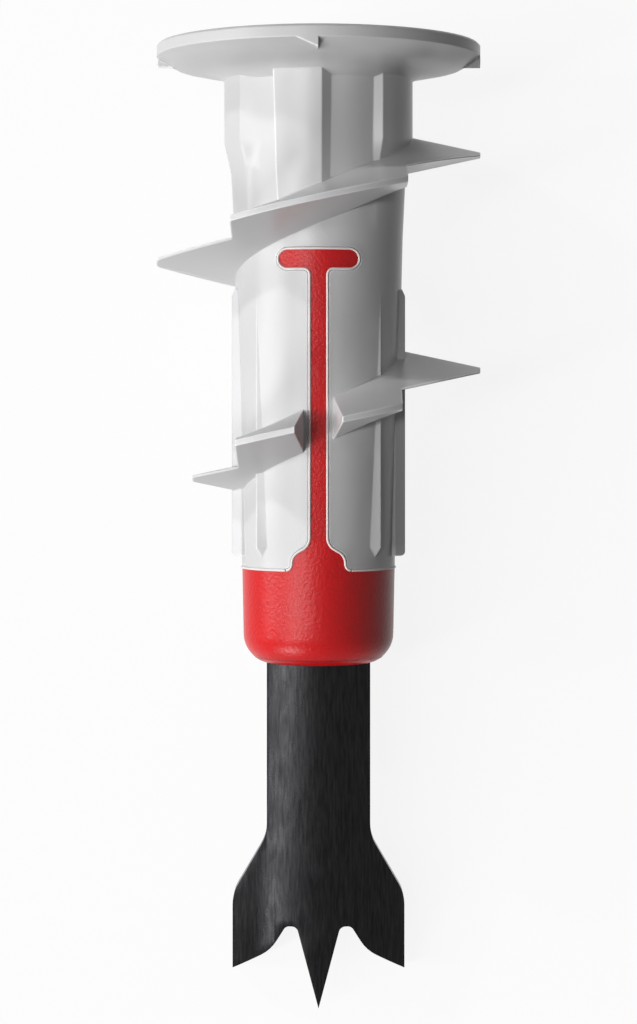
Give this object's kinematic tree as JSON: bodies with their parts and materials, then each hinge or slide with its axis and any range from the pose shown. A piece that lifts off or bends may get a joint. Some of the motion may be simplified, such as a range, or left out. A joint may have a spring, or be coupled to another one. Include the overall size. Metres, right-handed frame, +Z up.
{
  "type": "self-drilling drywall anchor",
  "caption": "Screw-in plasterboard plug with a wide flange, coarse moulded thread, red inlaid end cap and a steel drilling blade.",
  "frame": {"origin": "on the ground, under the middle of the anchor's bounding box", "axes": "+Z up; the anchor lies on its back with its flange towards +Y and its point towards -Y, its axis raised by 9.4 degrees at the flange end"},
  "size_m": [0.0148, 0.0446, 0.0166],
  "materials": {
    "grey_plastic": "moulded satin, light grey",
    "red_plastic": "moulded satin with a fine grain, red",
    "blackened_steel": "blackened, with fine lengthwise drawing marks"
  },
  "bodies": {
    "root": {"anchor_body": "grey_plastic", "expansion_insert": "red_plastic", "cutting_blade": "blackened_steel"}
  },
  "joints": []
}
